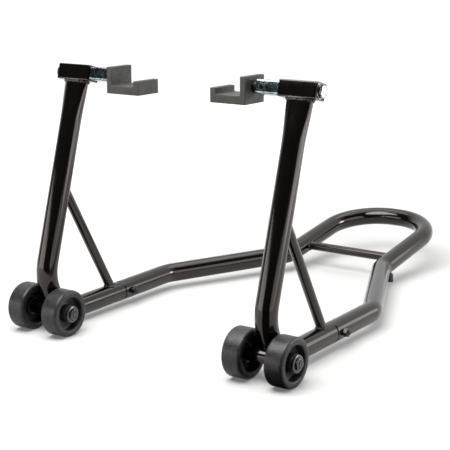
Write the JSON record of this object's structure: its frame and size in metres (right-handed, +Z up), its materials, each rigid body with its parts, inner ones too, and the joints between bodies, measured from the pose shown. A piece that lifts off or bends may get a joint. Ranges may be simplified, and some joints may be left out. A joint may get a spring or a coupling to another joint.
{
  "type": "motorcycle paddock stand",
  "caption": "Tubular steel rear paddock stand: wheeled uprights, sliding swivelling rubber saddles, and a bolted rear frame bent up into a lifting handle.",
  "frame": {"origin": "on the floor, at the middle of the stand's footprint", "axes": "+X across the stand, +Y from the wheels to the handle, +Z up"},
  "size_m": [0.5398, 0.8512, 0.425],
  "materials": {
    "frame_paint": "gloss black powder coat",
    "wheel_plastic": "satin dark grey moulded",
    "saddle_rubber": "matt moulded rubber",
    "foot_rubber": "matt moulded rubber",
    "zinc_bar": "blue-white zinc plate",
    "zinc_screw": "bright zinc plate",
    "axle_steel": "dark zinc plate",
    "black_steel": "black oxide",
    "inner_steel": "plain steel"
  },
  "bodies": {
    "frame": {"left_front_tube": "frame_paint", "right_front_tube": "frame_paint", "left_brace": "frame_paint", "right_brace": "frame_paint", "left_axle_sleeve": "frame_paint", "right_axle_sleeve": "frame_paint", "left_receiver": "frame_paint", "right_receiver": "frame_paint", "left_end_plug": "zinc_screw", "right_end_plug": "zinc_screw", "left_axle_bolt": "axle_steel", "right_axle_bolt": "axle_steel", "left_axle_nut": "axle_steel", "right_axle_nut": "axle_steel", "axle_washers": "axle_steel", "rear_tube": "frame_paint", "cross_bar": "frame_paint", "left_joint_sleeve": "inner_steel", "right_joint_sleeve": "inner_steel", "joint_bolts": "black_steel", "joint_nuts": "black_steel", "foot_studs": "inner_steel", "left_foot": "foot_rubber", "right_foot": "foot_rubber"},
    "left_outer_wheel": {"left_outer_wheel": "wheel_plastic", "left_outer_bush": "axle_steel"},
    "left_inner_wheel": {"left_inner_wheel": "wheel_plastic", "left_inner_bush": "axle_steel"},
    "left_slide": {"left_slide_bar": "zinc_bar", "left_bar_nut": "inner_steel", "left_pivot_stub": "inner_steel", "left_pivot_clip": "inner_steel"},
    "left_saddle": {"left_saddle_core": "black_steel", "left_saddle_pad": "saddle_rubber"},
    "left_screw": {"left_adjust_screw": "zinc_screw", "left_screw_washer": "zinc_screw"},
    "right_outer_wheel": {"right_outer_wheel": "wheel_plastic", "right_outer_bush": "axle_steel"},
    "right_inner_wheel": {"right_inner_wheel": "wheel_plastic", "right_inner_bush": "axle_steel"},
    "right_slide": {"right_slide_bar": "zinc_bar", "right_bar_nut": "inner_steel", "right_pivot_stub": "inner_steel", "right_pivot_clip": "inner_steel"},
    "right_saddle": {"right_saddle_core": "black_steel", "right_saddle_pad": "saddle_rubber"},
    "right_screw": {"right_adjust_screw": "zinc_screw", "right_screw_washer": "zinc_screw"}
  },
  "joints": [
    {"name": "left_outer_wheel_spin", "type": "hinge", "parent": "frame", "child": "left_outer_wheel", "pos_m": [-0.246, -0.3881, 0.0375], "axis": [1, 0, 0], "continuous": true},
    {"name": "left_inner_wheel_spin", "type": "hinge", "parent": "frame", "child": "left_inner_wheel", "pos_m": [-0.174, -0.3881, 0.0375], "axis": [1, 0, 0], "continuous": true},
    {"name": "left_width_slide", "type": "slide", "parent": "frame", "child": "left_slide", "axis": [1, 0, 0], "range_m": [-0.011, 0.023]},
    {"name": "left_saddle_swivel", "type": "hinge", "parent": "left_slide", "child": "left_saddle", "pos_m": [-0.13, -0.29809, 0.40903], "axis": [1, 0, 0], "range_deg": [-35, 35]},
    {"name": "left_screw_turn", "type": "hinge", "parent": "frame", "child": "left_screw", "pos_m": [-0.2445, -0.29809, 0.40903], "axis": [-1, 0, 0], "range_deg": [-2640, 5520]},
    {"name": "right_outer_wheel_spin", "type": "hinge", "parent": "frame", "child": "right_outer_wheel", "pos_m": [0.246, -0.3881, 0.0375], "axis": [1, 0, 0], "continuous": true},
    {"name": "right_inner_wheel_spin", "type": "hinge", "parent": "frame", "child": "right_inner_wheel", "pos_m": [0.174, -0.3881, 0.0375], "axis": [1, 0, 0], "continuous": true},
    {"name": "right_width_slide", "type": "slide", "parent": "frame", "child": "right_slide", "axis": [-1, 0, 0], "range_m": [-0.011, 0.023]},
    {"name": "right_saddle_swivel", "type": "hinge", "parent": "right_slide", "child": "right_saddle", "pos_m": [0.13, -0.29809, 0.40903], "axis": [1, 0, 0], "range_deg": [-35, 35]},
    {"name": "right_screw_turn", "type": "hinge", "parent": "frame", "child": "right_screw", "pos_m": [0.2445, -0.29809, 0.40903], "axis": [1, 0, 0], "range_deg": [-2640, 5520]}
  ],
  "couplings": [
    {"joint": "left_screw_turn", "follows": "left_width_slide", "rad_per_m": 4188.8},
    {"joint": "right_screw_turn", "follows": "right_width_slide", "rad_per_m": 4188.8}
  ]
}
